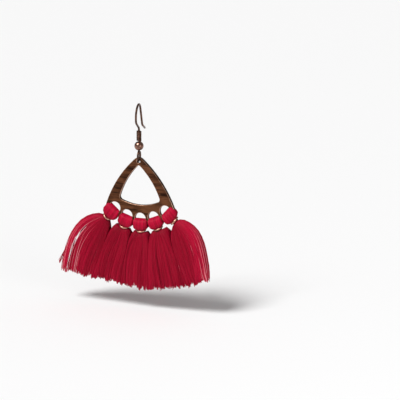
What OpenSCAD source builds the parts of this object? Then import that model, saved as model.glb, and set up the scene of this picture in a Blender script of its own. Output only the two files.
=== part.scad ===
// Drop earring: an ear wire with coil and bead, a rounded triangular frame, and five silk tassels
// folded over the lower rims of its five holes, each gathered by a ring.
// Lengths are millimetres. The origin is the inside top of the ear wire's arch, where the ear carries it.
// +Z is up, the front faces -Y and +X is to the right as seen from the front.

/* [Ear wire] */
// Diameter of the ear wire
wire_d = 0.7; // [0.5:0.05:0.9]
// Radius of the arch on its front side, at the middle of the wire
arch_front_r = 3.75; // [3:0.05:4.5]
// Radius of the arch on its back side, at the middle of the wire
arch_back_r = 2.5; // [2:0.05:3.2]
// Straight stretch below the front of the arch
shank_l = 0.5; // [0.2:0.1:2]
// Radius of the bow that turns the shank back under the arch
bow_r = 2.2; // [1.8:0.05:3]
// Straight slanted stretch between the bow and the stem
slant_l = 3.0; // [2:0.1:4]
// Angle of that slanted stretch from the vertical
slant_angle = 58; // [45:1:65]
// Radius of the bend from the slant into the stem
stem_bend_r = 1.3; // [1:0.05:2]
// Angle of the back leg from the vertical
leg_angle = 22; // [10:1:30]
// Straight length of the back leg
leg_l = 6.2; // [4:0.1:9]
// Radius of the bend at the foot of the leg
kick_r = 2.0; // [1:0.1:3]
// Angle by which the tip kicks out from the leg
kick_angle = 40; // [20:1:60]
// Straight length of the kicked-out tip
tip_l = 3.2; // [1:0.1:5]
// Radius of the bottom loop, at the middle of the wire
loop_r = 1.6; // [1.4:0.05:2]
// Radius of the small bend from the stem into the loop
loop_neck_r = 0.6; // [0.5:0.05:0.9]
// Angle swept by the bottom loop, which is closed up to a small slit
loop_sweep = 300; // [280:1:310]

/* [Coil and bead] */
// Diameter of the coil's own wire
coil_wire_d = 0.46; // [0.35:0.02:0.6]
// Number of turns in the coil
coil_turns = 9; // [6:1:12]
// Spacing of the turns as a share of the coil wire's diameter
coil_pitch_share = 0.93; // [0.85:0.01:0.96]
// Width of the ball bead
bead_d = 3.1; // [2.6:0.1:3.6]
// Height of the ball bead between its flattened ends
bead_h = 2.75; // [2.2:0.05:3]
// Clearance round the wire inside the coil and the bead
bore_clearance = 0.06; // [0.04:0.01:0.1]
// Gap between the stem's parts where they follow one another
stack_gap = 0.05; // [0.03:0.01:0.1]

/* [Frame] */
// Thickness of the frame's plate
plate_t = 1.2; // [0.8:0.1:1.4]
// Radius of the long convex outer sides
side_r = 39; // [34:0.5:60]
// Radius of the rounded top of the frame
apex_r = 2.0; // [1.6:0.1:2.4]
// Diameter of the eye that the ear wire's loop passes through
eye_d = 1.3; // [1.25:0.05:1.4]
// Metal left above the eye
eye_rim = 0.6; // [0.4:0.05:0.75]
// Metal left between the eye and the opening
eye_to_opening = 0.8; // [0.6:0.1:1.4]
// Height of the triangular opening
opening_h = 13.4; // [10:0.1:13.6]
// Width of the triangular opening at its lower corners
opening_w = 14.6; // [12:0.1:15]
// Radius of the opening's sides
opening_side_r = 27; // [18:0.5:40]
// Radius of the opening's lower edge
opening_base_r = 17; // [12:0.5:40]
// Radius of the opening's rounded top
opening_top_r = 0.7; // [0.5:0.1:1]
// Radius of the opening's rounded lower corners
opening_corner_r = 1.1; // [0.7:0.1:1.5]

/* [Tassel holes] */
// Diameter of the holes that carry the tassels
hole_d = 4.0; // [3.6:0.1:4.2]
// Metal left outside each hole
hole_rim = 1.0; // [0.8:0.05:1.2]
// Metal left outside the outermost holes, at the frame's lower corners
corner_rim = 1.4; // [1:0.05:1.6]
// Depth of the middle hole's centre below the ear wire's loop centre
hole_depth = 21.2; // [20.6:0.1:22.5]
// Radius of the arc through the centres of the holes
hole_arc_r = 15.2; // [13:0.1:18]
// Angle between neighbouring holes on that arc
hole_step = 18.7; // [18:0.1:19.5]

/* [Neck rings] */
// Diameter of the neck rings' wire
ring_wire_d = 0.6; // [0.4:0.05:0.7]
// Inside diameter of the neck rings
ring_bore_d = 2.3; // [2.1:0.05:2.6]
// Gap along the neck between the frame's edge and the ring's upper side
ring_gap = 0.12; // [0.1:0.02:0.4]
// Angle by which the front of each ring hangs lower than its back
ring_tilt = 15; // [0:1:20]

/* [Tassels] */
// Width of the folded head over the rim
head_w = 4.9; // [3.6:0.05:5.1]
// Width of the folded head over each outer hole, where it has more room
corner_head_w = 5.6; // [4:0.05:6]
// How far the head over each outer hole sits outward
corner_head_out = 0.35; // [0:0.05:0.6]
// Depth of the folded head, front to back
head_depth = 3.7; // [3:0.1:4.4]
// Clearance between the thread bundle and the metal it is folded round
thread_clearance = 0.1; // [0.06:0.01:0.15]
// Gap between neighbouring tassels
tassel_gap = 0.16; // [0.12:0.02:0.3]
// Depth of the skirts at their fullest, front to back
skirt_depth = 5.6; // [4:0.1:7]
// Width of one lock at its fullest
lock_w = 3.0; // [2.4:0.1:3.6]
// How far the gap between two necks reaches below the middle of their rings
kite_drop = 2.25; // [1.8:0.05:3]

/* [Fringe] */
// Reach of the fringe to the left of the loop's centre
fringe_left = 28.4; // [24:0.1:32]
// Reach of the fringe to the right of the loop's centre
fringe_right = 23.8; // [20:0.1:30]
// Length of the longest threads below the middle neck ring
fringe_l = 20; // [16:0.1:26]
// Angle by which the whole drop leans to the right as it hangs
drop_lean = 1.8; // [0:0.1:3]
// Angle by which the whole drop is turned on the loop, with its right side forward
drop_turn = 12; // [0:1:15]

/* [Hidden] */
$fn = 64;

copper = [0.36, 0.22, 0.15];
bright_copper = [0.66, 0.42, 0.33];
crimson = [0.66, 0.06, 0.18];

// The ear wire's path, worked out from the arch down
stem_y = (bow_r + stem_bend_r) * (1 - cos(slant_angle)) + slant_l * sin(slant_angle) - arch_front_r;
slant_fall = (bow_r + stem_bend_r) * sin(slant_angle) + slant_l * cos(slant_angle);
stem_top = wire_d / 2 - arch_front_r - shank_l - slant_fall;
coil_pitch = coil_wire_d * coil_pitch_share;
coil_h = coil_pitch * (coil_turns - 1) + coil_wire_d;
coil_r = wire_d / 2 + bore_clearance + coil_wire_d / 2;
coil_bottom = stem_top - stack_gap - coil_h;
bead_z = coil_bottom - stack_gap - bead_h / 2;
stem_bottom = bead_z - bead_h / 2 + stack_gap;
loop_neck_angle = acos(loop_neck_r / (loop_r + loop_neck_r));
loop_z = stem_bottom - (loop_r + loop_neck_r) * sin(loop_neck_angle);

// The wire's bends from the top of the arch, as a straight stretch and then a bend toward +Y or -Y
STRAIGHT = 0;
RADIUS = 1;
ANGLE = 2;
FRONT_PATH = [
    [0, arch_front_r, -90],
    [shank_l, bow_r, -slant_angle],
    [slant_l, stem_bend_r, slant_angle],
    [stem_top - stem_bottom, loop_neck_r, loop_neck_angle],
    [0, loop_r, -loop_sweep]
];
BACK_PATH = [
    [0, arch_back_r, 90 - leg_angle],
    [leg_l, kick_r, -kick_angle],
    [tip_l, 0, 0]
];
tip_end_share = 0.5;
tip_point_l = 0.3;
// Straight stretches are a hair thicker than the bends, so that they close over the bends' ends
straight_d = wire_d + 0.006;
straight_lap = 0.01;

// The frame's own plane has its origin at the centre of the ear wire's loop
loop_inside_r = loop_r - wire_d / 2;
eye_clearance = 0.06;
eye_top = sqrt(pow(loop_inside_r - eye_clearance, 2) - pow(plate_t / 2, 2));
eye_z = -eye_top - eye_d / 2;
apex_z = -eye_top + eye_rim;
apex_centre = [0, apex_z - apex_r];
opening_top = eye_z - eye_d / 2 - eye_to_opening;
opening_bottom = opening_top - opening_h;
hole_r = hole_d / 2;
scallop_r = hole_r + hole_rim;
corner_r = hole_r + corner_rim;
HOLES = [for (i = [-2 : 2]) [hole_arc_r * sin(i * hole_step), hole_arc_r * (1 - cos(i * hole_step)) - hole_depth]];

// One row for each tassel, left to right, with angles from straight down, positive to the right:
// tilt of the head over the rim, tilt of the neck, where the outermost threads of the skirt set off,
// and how long they keep that way, as a share of their reach
HEAD_TILT = 0;
NECK_TILT = 1;
SPREAD_LEFT = 2;
SPREAD_RIGHT = 3;
LAUNCH_LEFT = 4;
LAUNCH_RIGHT = 5;
TASSELS = [
    [-34, -42, -93, 4, 0.42, 0.42],
    [-12, -19, -98, 62, 0.28, 0.22],
    [0, 0, -84, 80, 0.22, 0.20],
    [13, 21, -66, 98, 0.22, 0.26],
    [37, 46, -14, 84, 0.42, 0.42]
];

// One row for each edge between skirts, left to right: its place across the fringe as a share of
// the whole reach, its drop as a share of the longest threads, and the lean of the threads there
ACROSS = 0;
DROP = 1;
LEAN = 2;
HEM = [
    [0.00, 0.76, -28],
    [0.20, 0.86, -16],
    [0.40, 0.93, -7],
    [0.60, 0.99, 0],
    [0.86, 0.88, 8],
    [1.00, 0.76, 14]
];

// One row for each section of a head, top to bottom: its place between the centre of the hole and
// the end of the neck, and its width and depth as shares of the head's
PLACE = 0;
WIDTH = 1;
DEPTH = 2;
HEAD = [
    [0.02, 0.72, 0.30],
    [0.09, 0.88, 0.62],
    [0.20, 0.98, 0.88],
    [0.34, 1.00, 1.00],
    [0.50, 1.00, 1.00],
    [0.60, 0.93, 0.94],
    [0.645, 0.78, 0.80]
];

// One row for each section along a lock: its place along the thread, its width as a share of the
// lock's, and its depth and distance from the middle plane as shares of the skirt's depth
ALONG = 0;
LOCK_WIDTH = 1;
LOCK_DEPTH = 2;
LOCK_OUT = 3;
LOCK = [
    [0.00, 0.46, 0.16, 0.08],
    [0.07, 0.62, 0.20, 0.12],
    [0.17, 0.82, 0.23, 0.17],
    [0.32, 0.96, 0.25, 0.22],
    [0.50, 1.00, 0.25, 0.25],
    [0.70, 1.00, 0.24, 0.24],
    [0.88, 0.96, 0.21, 0.20],
    [1.00, 0.74, 0.15, 0.17]
];

// Where the locks of a skirt lie across it, and how much longer or shorter each one is
FRONT_LOCKS = [0.04, 0.27, 0.50, 0.73, 0.96];
BACK_LOCKS = [0.15, 0.39, 0.61, 0.85];
LOCK_TRIM = [1.006, 0.964, 1.022, 0.998, 1.031, 0.981, 1.013, 0.989, 0.972];
lock_sides = 8;
// Share of a lock's length over which its cross-section turns from the neck's to its own
square_share = 0.3;
head_sides = 24;

neck_r = ring_bore_d / 2 - thread_clearance;
ring_r = (ring_bore_d + ring_wire_d) / 2;
ring_room = ring_r * sin(ring_tilt) + ring_wire_d / 2 + thread_clearance;
function rim_r(i) = i == 0 || i == 4 ? corner_r : scallop_r;
function ring_drop(i) = rim_r(i) + ring_gap + ring_room;
function neck_top(i) = ring_drop(i) - ring_room;
function neck_bottom(i) = ring_drop(i) + ring_room;
landing_share = 0.34;
far = 2 * (fringe_left + fringe_right);

function mix(a, b, t) = a + (b - a) * t;
function down(angle) = [sin(angle), -cos(angle)];
function turned(p, angle) = [p[0] * cos(angle) - p[1] * sin(angle), p[0] * sin(angle) + p[1] * cos(angle)];
function direction(p, q) = atan2(q[1] - p[1], q[0] - p[0]);

// Points on a round stretch, both ends included
function arc(centre, r, from, to, steps) =
    [for (i = [0 : steps]) centre + r * [cos(mix(from, to, i / steps)), sin(mix(from, to, i / steps))]];

// Where two circles cross, on the left of the way from the first centre to the second
function crossing(c1, r1, c2, r2) =
    let (
        d = norm(c2 - c1),
        along = (d * d + r1 * r1 - r2 * r2) / (2 * d),
        aside = sqrt(r1 * r1 - along * along)
    )
    c1 + along * (c2 - c1) / d + aside * [c1[1] - c2[1], c2[0] - c1[0]] / d;

function mirrored(points) = [for (i = [len(points) - 1 : -1 : 0]) [-points[i][0], points[i][1]]];

// The right half of the frame's outline, from the top down to the lowest point
outer_hole = HOLES[4];
side_centre = crossing(outer_hole, side_r - corner_r, apex_centre, side_r - apex_r);
inner_notch = crossing(HOLES[3], scallop_r, HOLES[2], scallop_r);
outer_notch = crossing(outer_hole, corner_r, HOLES[3], scallop_r);
half_outline = concat(
    arc(apex_centre, apex_r, 90, direction(side_centre, apex_centre), 8),
    arc(side_centre, side_r, direction(side_centre, apex_centre), direction(side_centre, outer_hole), 14),
    arc(outer_hole, corner_r, direction(side_centre, outer_hole), direction(outer_hole, outer_notch), 10),
    arc(HOLES[3], scallop_r, direction(HOLES[3], outer_notch), direction(HOLES[3], inner_notch), 8),
    arc(HOLES[2], scallop_r, direction(HOLES[2], inner_notch), -90, 5)
);

// The right half of the opening's outline
opening_apex_centre = [0, opening_top - opening_top_r];
opening_base_centre = [0, opening_bottom + opening_base_r];
corner_x = opening_w / 2 - opening_corner_r;
corner_centre = [
    corner_x,
    opening_base_centre[1] - sqrt(pow(opening_base_r - opening_corner_r, 2) - corner_x * corner_x)
];
opening_side_centre = crossing(
    corner_centre, opening_side_r - opening_corner_r,
    opening_apex_centre, opening_side_r - opening_top_r
);
half_opening = concat(
    arc(opening_apex_centre, opening_top_r, 90, direction(opening_side_centre, opening_apex_centre), 5),
    arc(
        opening_side_centre, opening_side_r,
        direction(opening_side_centre, opening_apex_centre), direction(opening_side_centre, corner_centre), 12
    ),
    arc(
        corner_centre, opening_corner_r,
        direction(opening_side_centre, corner_centre), direction(opening_base_centre, corner_centre), 8
    ),
    arc(opening_base_centre, opening_base_r, direction(opening_base_centre, corner_centre), -90, 8)
);

// The frame's plane, as the drop hangs in the loop
module hung() {
    translate([0, stem_y, loop_z]) rotate([0, 0, -drop_turn]) rotate([0, -drop_lean, 0]) children();
}

// A flat shape drawn in the frame's plane, given a thickness from front to back
module plate(thickness) {
    rotate([90, 0, 0]) linear_extrude(thickness, center = true) children();
}

// A round wire along the Z axis and through the bends that follow, to a blunt point where no bend is given
module wire(path, i = 0) {
    if (i < len(path)) {
        side = sign(path[i][ANGLE]);
        if (path[i][STRAIGHT] > 0) {
            translate([0, 0, -straight_lap]) cylinder(d = straight_d, h = path[i][STRAIGHT] + 2 * straight_lap);
        }
        translate([0, 0, path[i][STRAIGHT]]) {
            if (side == 0) cylinder(d1 = wire_d, d2 = tip_end_share * wire_d, h = tip_point_l);
            if (side != 0) {
                mirror([0, side < 0 ? 1 : 0, 0]) bend(path[i][RADIUS], abs(path[i][ANGLE]));
            }
            translate([0, side * path[i][RADIUS], 0])
                rotate([-path[i][ANGLE], 0, 0])
                translate([0, -side * path[i][RADIUS], 0])
                wire(path, i + 1);
        }
    }
}

// One bend of the wire, from the Z axis toward +Y
module bend(r, angle) {
    translate([0, r, 0])
        rotate([90, 0, -90])
        rotate_extrude(angle = angle)
        translate([r, 0]) circle(d = wire_d);
}

module ear_hook() {
    color(copper) translate([0, 0, wire_d / 2]) {
        rotate([90, 0, 0]) wire(FRONT_PATH);
        rotate([-90, 0, 0]) wire(BACK_PATH);
    }
}

module hook_coil() {
    color(copper) translate([0, stem_y, coil_bottom + coil_wire_d / 2])
        rotate_extrude()
        for (i = [0 : coil_turns - 1]) translate([coil_r, i * coil_pitch]) circle(d = coil_wire_d);
}

module hook_bead() {
    color(bright_copper) translate([0, stem_y, bead_z]) difference() {
        intersection() {
            sphere(d = bead_d);
            cube([bead_d + 1, bead_d + 1, bead_h], center = true);
        }
        cylinder(d = wire_d + 2 * bore_clearance, h = bead_d + 1, center = true);
    }
}

module frame() {
    color(copper) hung() difference() {
        plate(plate_t) polygon(concat(half_outline, mirrored(half_outline)));
        plate(2 * plate_t) polygon(concat(half_opening, mirrored(half_opening)));
        translate([0, 0, eye_z]) rotate([90, 0, 0]) cylinder(d = eye_d, h = 2 * plate_t, center = true);
        for (hole = HOLES) translate([hole[0], 0, hole[1]])
            rotate([90, 0, 0]) cylinder(d = hole_d, h = 2 * plate_t, center = true);
    }
}

function ring_centre(i) = HOLES[i] + ring_drop(i) * down(TASSELS[i][NECK_TILT]);

module neck_ring(i) {
    color(bright_copper) hung() translate([ring_centre(i)[0], 0, ring_centre(i)[1]])
        rotate([0, -TASSELS[i][NECK_TILT], 0])
        rotate([ring_tilt, 0, 0])
        rotate_extrude() translate([ring_r, 0]) circle(d = ring_wire_d);
}

// A point of the hem, counted in skirts from the left end of the fringe
function hem_row(edge) = mix(HEM[min(floor(edge), 4)], HEM[min(floor(edge), 4) + 1], edge - min(floor(edge), 4));
function hem_point(edge) = [
    mix(-fringe_left, fringe_right, hem_row(edge)[ACROSS]),
    ring_centre(2)[1] - fringe_l * hem_row(edge)[DROP]
];

// The line between two neighbouring tassels, from the metal between their holes down past the hem
function kite_bottom(edge) =
    (ring_centre(edge - 1) + ring_centre(edge)) / 2
    + kite_drop * down((TASSELS[edge - 1][NECK_TILT] + TASSELS[edge][NECK_TILT]) / 2);
function parting(edge) = let (
        metal = (HOLES[edge - 1] + HOLES[edge]) / 2,
        inward = [0, hole_arc_r - hole_depth] - metal
    ) [
        metal + hole_d * inward / norm(inward),
        (ring_centre(edge - 1) + ring_centre(edge)) / 2,
        kite_bottom(edge),
        mix(kite_bottom(edge), hem_point(edge), 1.4)
    ];
function boundary(edge, shift) =
    edge < 1 ? [[-far, far / 2], [-far, -far]] :
    edge > 4 ? [[far, far / 2], [far, -far]] :
    [for (p = parting(edge)) p + [shift, 0]];
function reversed(points) = [for (i = [len(points) - 1 : -1 : 0]) points[i]];

module territory(i) {
    plate(far) polygon(concat(
        boundary(i, tassel_gap / 2),
        reversed(boundary(i + 1, -tassel_gap / 2))
    ));
}

// A closed skin over rings of points, given one after another, each with the same number of points
module skin(rings) {
    count = len(rings[0]);
    last = len(rings) - 1;
    sides = [for (j = [0 : last - 1]) for (k = [0 : count - 1]) let (n = (k + 1) % count)
        [j * count + k, j * count + n, (j + 1) * count + n, (j + 1) * count + k]];
    caps = [
        [for (k = [count - 1 : -1 : 0]) k],
        [for (k = [0 : count - 1]) last * count + k]
    ];
    polyhedron(points = [for (ring = rings) each ring], faces = concat(sides, caps), convexity = 4);
}

// The bundle folded over the rim, and its neck
function head_ring(i, place, w, depth) = let (
        bend = (TASSELS[i][HEAD_TILT] - TASSELS[i][NECK_TILT]) * max(1 - place * 2, 0),
        out = (i == 0 ? -1 : i == 4 ? 1 : 0) * corner_head_out * max(1 - place / (neck_top(i) / neck_bottom(i)), 0),
        centre = place * neck_bottom(i) * down(bend) + [out, 0]
    ) [for (k = [0 : head_sides - 1]) let (a = 360 * (k + 0.5) / head_sides)
        [centre[0] + w / 2 * cos(a), depth / 2 * sin(a), centre[1]]
    ];

module head(i) {
    neck_w = 2 * neck_r;
    wide = i == 0 || i == 4 ? corner_head_w : head_w;
    rows = concat(
        [for (row = HEAD) [row[PLACE], row[WIDTH] * wide, row[DEPTH] * head_depth]],
        [
            [neck_top(i) / neck_bottom(i), neck_w, neck_w],
            [ring_drop(i) / neck_bottom(i), neck_w, neck_w],
            [1, neck_w, neck_w],
            [1.1, neck_w, neck_w]
        ]
    );
    rings = [for (row = rows) head_ring(i, row[0], row[1], row[2])];
    translate([HOLES[i][0], 0, HOLES[i][1]]) rotate([0, -TASSELS[i][NECK_TILT], 0]) {
        for (k = [0 : len(rings) - 2]) hull() skin([rings[k], rings[k + 1]]);
    }
}

// The metal of the frame near one hole, with the threads' clearance
module rim_space(i) {
    translate([HOLES[i][0], 0, HOLES[i][1]]) plate(plate_t + 2 * thread_clearance) difference() {
        circle(r = rim_r(i) + thread_clearance, $fn = 48);
        circle(r = hole_r - thread_clearance, $fn = 48);
    }
}

// A lock's middle line is one Bezier curve from the neck to the hem
function bezier(p, t) =
    pow(1 - t, 3) * p[0] + 3 * t * pow(1 - t, 2) * p[1] + 3 * t * t * (1 - t) * p[2] + pow(t, 3) * p[3];
function bezier_way(p, t) =
    pow(1 - t, 2) * (p[1] - p[0]) + 2 * t * (1 - t) * (p[2] - p[1]) + t * t * (p[3] - p[2]);
function lock_line(i, across, trim) = let (
        tilt = TASSELS[i][NECK_TILT],
        start_drop = (neck_bottom(i) + 2 * thread_clearance) * trim,
        start = HOLES[i] + start_drop * down(tilt) + (across - 0.5) * 2 * neck_r * [cos(tilt), sin(tilt)],
        hem = mix(start, hem_point(i + across), trim),
        reach = norm(hem - start),
        spread = mix(TASSELS[i][SPREAD_LEFT], TASSELS[i][SPREAD_RIGHT], across),
        launch = mix(TASSELS[i][LAUNCH_LEFT], TASSELS[i][LAUNCH_RIGHT], across)
    ) [
        start,
        start + launch * reach * down(spread),
        hem - landing_share * reach * down(hem_row(i + across)[LEAN]),
        hem
    ];

module lock(i, across, trim, layer) {
    line = lock_line(i, across, trim);
    skin([for (row = LOCK) let (
            middle = bezier(line, row[ALONG]),
            way = bezier_way(line, row[ALONG]),
            tilt = TASSELS[i][NECK_TILT],
            turn = direction([0, 0], way) + 90,
            aside = down(mix(tilt, turn, min(row[ALONG] / square_share, 1)) + 90)
        ) [for (k = [0 : lock_sides - 1]) let (
                a = 360 * (k + 0.5) / lock_sides,
                w = row[LOCK_WIDTH] * lock_w / 2 * cos(a),
                d = (row[LOCK_DEPTH] * sin(a) + layer * row[LOCK_OUT]) * skirt_depth * trim
            ) [middle[0] + w * aside[0], d, middle[1] + w * aside[1]]
        ]
    ]);
}

module tassel(i) {
    color(crimson) hung() difference() {
        intersection() {
            union() {
                head(i);
                for (k = [0 : len(FRONT_LOCKS) - 1]) lock(i, FRONT_LOCKS[k], LOCK_TRIM[(k + i) % 9], -1);
                for (k = [0 : len(BACK_LOCKS) - 1]) lock(i, BACK_LOCKS[k], LOCK_TRIM[(k + i + 5) % 9], 1);
            }
            territory(i);
        }
        rim_space(i);
    }
}

ear_hook();
hook_coil();
hook_bead();
frame();
for (i = [0 : 4]) {
    neck_ring(i);
    tassel(i);
}
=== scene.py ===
import bisect
import math
import random

import bmesh
import bpy
import numpy as np
from bpy.props import FloatProperty, FloatVectorProperty, IntProperty, PointerProperty
from mathutils import Matrix, Vector


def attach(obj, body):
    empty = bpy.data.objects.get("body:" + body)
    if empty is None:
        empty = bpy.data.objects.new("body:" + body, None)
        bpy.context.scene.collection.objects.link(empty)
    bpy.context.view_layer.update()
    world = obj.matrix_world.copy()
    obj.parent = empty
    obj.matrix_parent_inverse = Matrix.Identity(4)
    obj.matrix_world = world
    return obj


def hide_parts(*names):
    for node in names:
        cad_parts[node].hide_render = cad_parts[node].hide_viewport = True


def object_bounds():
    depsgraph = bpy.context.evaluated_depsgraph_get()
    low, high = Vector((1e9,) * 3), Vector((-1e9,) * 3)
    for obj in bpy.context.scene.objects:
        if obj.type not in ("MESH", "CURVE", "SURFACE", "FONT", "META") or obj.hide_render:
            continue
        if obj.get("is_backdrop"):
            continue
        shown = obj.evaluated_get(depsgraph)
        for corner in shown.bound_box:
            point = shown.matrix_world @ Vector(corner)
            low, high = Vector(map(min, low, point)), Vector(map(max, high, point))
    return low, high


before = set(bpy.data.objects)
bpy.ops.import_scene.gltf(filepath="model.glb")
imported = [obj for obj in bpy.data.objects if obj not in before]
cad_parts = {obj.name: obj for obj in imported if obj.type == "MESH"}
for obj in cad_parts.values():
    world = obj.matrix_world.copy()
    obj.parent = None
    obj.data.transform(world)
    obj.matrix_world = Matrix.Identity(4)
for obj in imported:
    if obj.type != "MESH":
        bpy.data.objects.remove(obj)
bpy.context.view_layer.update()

bl_info = {
    "name": "Tassel Earring",
    "version": (1, 0, 0),
    "blender": (4, 5, 0),
    "location": "View3D > Sidebar > Earring",
    "description": "Builds a copper drop earring with five crimson silk tassels",
    "category": "Object",
}

MM = 0.001
HOOK_BODY = "hook"
DROP_BODY = "drop"

# Ear wire, coil and bead
WIRE_D = 0.7 * MM
BOW_R = 2.2 * MM
STEM_BEND_R = 1.3 * MM
SLANT_L = 3.0 * MM
SLANT_ANGLE = 58
ARCH_FRONT_R = 3.75 * MM
SHANK_L = 0.5 * MM
LOOP_R = 1.6 * MM
LOOP_NECK_R = 0.6 * MM
LOOP_SWEEP = 300
STACK_GAP = 0.05 * MM
BORE_CLEARANCE = 0.06 * MM
COIL_WIRE_D = 0.46 * MM
COIL_TURNS = 9
COIL_PITCH = 0.93 * COIL_WIRE_D
COIL_R = WIRE_D / 2 + BORE_CLEARANCE + COIL_WIRE_D / 2
COIL_H = COIL_PITCH * (COIL_TURNS - 1) + COIL_WIRE_D
BEAD_D = 3.1 * MM
BEAD_H = 2.75 * MM
BEAD_BORE_R = WIRE_D / 2 + BORE_CLEARANCE
# Steps of the meshes, and a wire's rounded end: how far each ring advances, in diameters, and its size
COIL_SIDES = 12
COIL_STEPS = 28
BEAD_ARC_STEPS = 28
BEAD_STEPS = 56
BEND_STEP = 6
LEAST_BEND_STEPS = 6
WIRE_END = ((0.10, 0.93), (0.09, 0.82), (0.07, 0.60))
SAME_PLACE = 0.0001 * MM


def sin(angle):
    return math.sin(math.radians(angle))


def cos(angle):
    return math.cos(math.radians(angle))


STEM_Y = (BOW_R + STEM_BEND_R) * (1 - cos(SLANT_ANGLE)) + SLANT_L * sin(SLANT_ANGLE) - ARCH_FRONT_R
SLANT_FALL = (BOW_R + STEM_BEND_R) * sin(SLANT_ANGLE) + SLANT_L * cos(SLANT_ANGLE)
STEM_TOP = WIRE_D / 2 - ARCH_FRONT_R - SHANK_L - SLANT_FALL
COIL_BOTTOM = STEM_TOP - STACK_GAP - COIL_H
BEAD_Z = COIL_BOTTOM - STACK_GAP - BEAD_H / 2
STEM_BOTTOM = BEAD_Z - BEAD_H / 2 + STACK_GAP
LOOP_NECK_ANGLE = math.degrees(math.acos(LOOP_NECK_R / (LOOP_R + LOOP_NECK_R)))
LOOP_Z = STEM_BOTTOM - (LOOP_R + LOOP_NECK_R) * sin(LOOP_NECK_ANGLE)
# The wire's two ways from the top of the arch: rows of straight length, bend radius and bend angle
FRONT_PATH = [
    (0, ARCH_FRONT_R, -90),
    (SHANK_L, BOW_R, -SLANT_ANGLE),
    (SLANT_L, STEM_BEND_R, SLANT_ANGLE),
    (STEM_TOP - STEM_BOTTOM, LOOP_NECK_R, LOOP_NECK_ANGLE),
    (0, LOOP_R, -LOOP_SWEEP),
]
BACK_PATH = [(0, 2.5 * MM, 68), (6.2 * MM, 2.0 * MM, -40), (3.2 * MM, 0, 0)]

# Frame, drawn across (u) and up (w) from the middle of the hook's loop
PLATE_T = 1.2 * MM
SIDE_R = 39 * MM
APEX_R = 2.0 * MM
EYE_D = 1.3 * MM
EYE_CLEARANCE = 0.06 * MM
EYE_RIM = 0.6 * MM
EYE_TO_OPENING = 0.8 * MM
EYE_TOP = math.sqrt((LOOP_R - WIRE_D / 2 - EYE_CLEARANCE) ** 2 - (PLATE_T / 2) ** 2)
EYE_W = -EYE_TOP - EYE_D / 2
APEX_CENTRE = Vector((0, -EYE_TOP + EYE_RIM - APEX_R))
OPENING_H = 13.4 * MM
OPENING_TOP = EYE_W - EYE_D / 2 - EYE_TO_OPENING
OPENING_BOTTOM = OPENING_TOP - OPENING_H
OPENING_W = 14.6 * MM
OPENING_SIDE_R = 27 * MM
OPENING_BASE_R = 17 * MM
OPENING_TOP_R = 0.7 * MM
OPENING_CORNER_R = 1.1 * MM
HOLE_R = 2.0 * MM
SCALLOP_R = 3.0 * MM
CORNER_R = 3.4 * MM
HOLE_ARC_R = 15.2 * MM
HOLE_DEPTH = 21.2 * MM
HOLE_STEP = 18.7
HOLES = [
    Vector((HOLE_ARC_R * sin(i * HOLE_STEP), HOLE_ARC_R * (1 - cos(i * HOLE_STEP)) - HOLE_DEPTH))
    for i in range(-2, 3)
]
EYE_STEPS = 40
HOLE_STEPS = 64
EDGE_ANGLES = (0, 30, 60, 90)
SHARPEST_CORNER = 0.5
DROP_LEAN = math.radians(1.8)
DROP_TURN = math.radians(12)
HUNG = (
    Matrix.Translation((0, STEM_Y, LOOP_Z))
    @ Matrix.Rotation(-DROP_TURN, 4, "Z")
    @ Matrix.Rotation(-DROP_LEAN, 4, "Y")
)

# Neck rings
RING_WIRE_D = 0.6 * MM
RING_BORE_D = 2.3 * MM
RING_R = (RING_BORE_D + RING_WIRE_D) / 2
RING_TILT = 15
RING_GAP = 0.12 * MM
RING_SIDES = 16
RING_STEPS = 48
THREAD_CLEARANCE = 0.1 * MM
RING_ROOM = RING_R * sin(RING_TILT) + RING_WIRE_D / 2 + THREAD_CLEARANCE

# Tassels. Each row: tilt of the head, tilt of the neck, where the outermost threads of the skirt set off
# on the left and right, and how long they keep that way
NECK_R = 1.05 * MM
HEAD_W = 5.25 * MM
CORNER_HEAD_W = 5.6 * MM
CORNER_HEAD_OUT = 0.35 * MM
HEAD_DEPTH = 3.7 * MM
TASSELS = [
    (-34, -42, -94, 4, 0.43, 0.42),
    (-12, -19, -98, 62, 0.28, 0.22),
    (0, 0, -84, 80, 0.22, 0.20),
    (13, 21, -66, 98, 0.22, 0.26),
    (37, 46, -14, 84, 0.42, 0.42),
]
# Hem, by skirt from left to right: place across, share of the fringe's length, lean of the threads
HEM = [
    (-0.006, 0.765, -15),
    (0.20, 0.86, -16),
    (0.40, 0.93, -7),
    (0.60, 0.99, 0),
    (0.86, 0.88, 8),
    (1, 0.76, 14),
]
FRINGE_LEFT = 28.4 * MM
FRINGE_RIGHT = 23.8 * MM
FRINGE_L = 20 * MM
LANDING_SHARE = 0.34
SKIRT_START = 0.2 * MM
PAST_NECK = 1.1
# Neighbouring tassels part below the metal at this drop, and press softly on each other
KITE_DROP = 2.25 * MM
PAST_HEM = 1.4
SOFT_PRESS = 0.5 * MM
# The outermost threads on the left curl out and up at their ends
WISPS = 9
WISP_FROM = 0.55
WISP_FLARE = 9 * MM
WISP_SPREAD = (0.7, 1)
WISP_RISE = 9 * MM
# Head of a tassel: place between the hole's middle and the neck's end, width and depth as shares
HEAD_ROWS = [
    (0.02, 0.84, 0.30),
    (0.08, 0.96, 0.62),
    (0.18, 1.02, 0.88),
    (0.34, 1.04, 1),
    (0.52, 1.04, 1),
    (0.60, 0.92, 0.94),
    (0.65, 0.72, 0.80),
]
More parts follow.
